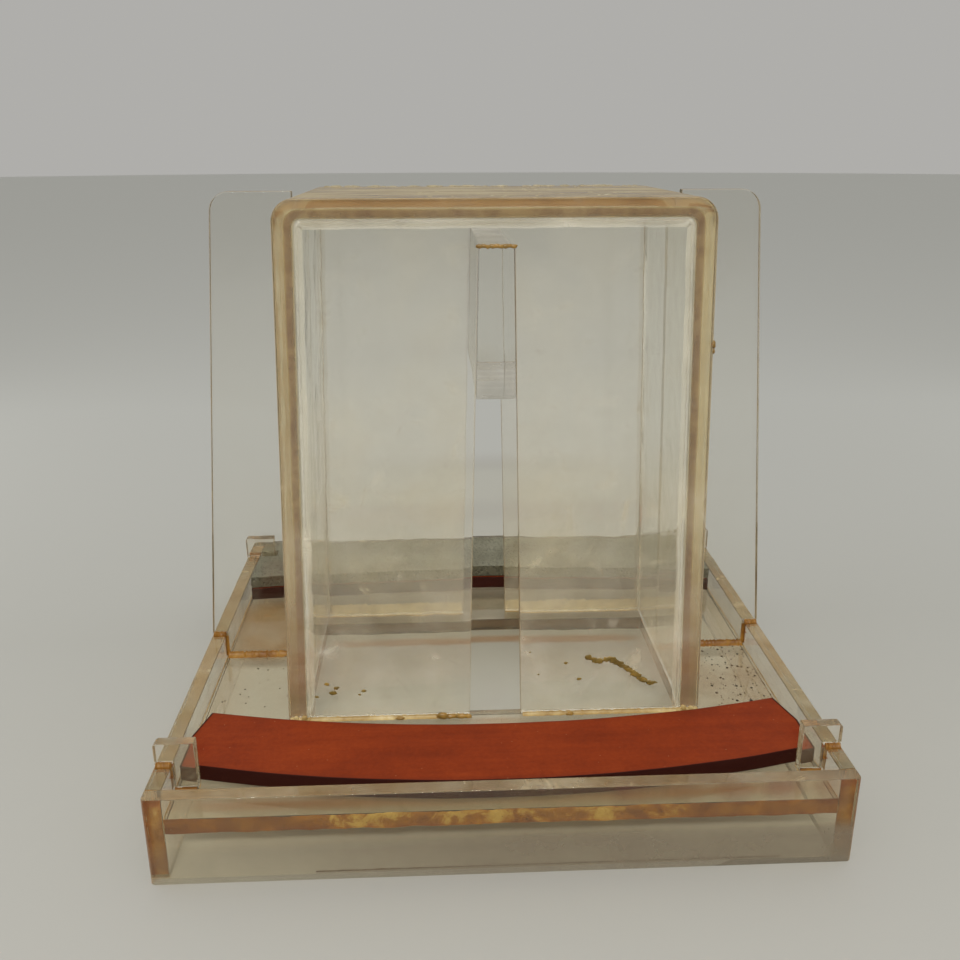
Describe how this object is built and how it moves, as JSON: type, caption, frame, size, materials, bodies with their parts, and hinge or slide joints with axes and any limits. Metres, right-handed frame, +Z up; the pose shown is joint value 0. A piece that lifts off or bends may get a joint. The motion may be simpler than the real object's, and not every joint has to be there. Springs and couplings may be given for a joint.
{
  "type": "gel electrophoresis tank",
  "caption": "Clear acrylic gel tank: shallow skirted tray with a tall slotted core, side wings, corner tabs and loose rubber strips on its floor.",
  "frame": {"origin": "centre of the tray's footprint, on the surface that the tray stands on", "axes": "+Z up, +X to the right seen from the front, the front faces -Y"},
  "size_m": [0.17, 0.158, 0.1554],
  "materials": {
    "acrylic": "clear, yellowed with age",
    "rubber": "matt red, worn",
    "foam": "matt grey, dense foam"
  },
  "bodies": {
    "tank": {"tray_floor": "acrylic", "tray_front_wall": "acrylic", "tray_rear_wall": "acrylic", "tray_left_wall": "acrylic", "tray_right_wall": "acrylic", "front_left_tab": "acrylic", "front_right_tab": "acrylic", "rear_left_tab": "acrylic", "rear_right_tab": "acrylic", "core_channel": "acrylic", "front_panel": "acrylic", "rear_panel": "acrylic", "centre_block": "acrylic", "left_wing": "acrylic", "right_wing": "acrylic"},
    "front_strip": {"front_rubber_strip": "rubber"},
    "rear_strip": {"rear_rubber_strip": "rubber"},
    "rear_foam": {"rear_foam_strip": "foam"}
  },
  "joints": [
    {"name": "front_strip_lift", "type": "slide", "parent": "tank", "child": "front_strip", "axis": [0, 0, 1], "range_m": [0, 0.03]},
    {"name": "rear_strip_lift", "type": "slide", "parent": "tank", "child": "rear_strip", "axis": [0, 0, 1], "range_m": [0, 0.03]},
    {"name": "rear_foam_lift", "type": "slide", "parent": "rear_strip", "child": "rear_foam", "axis": [0, 0, 1], "range_m": [0, 0.03]}
  ]
}
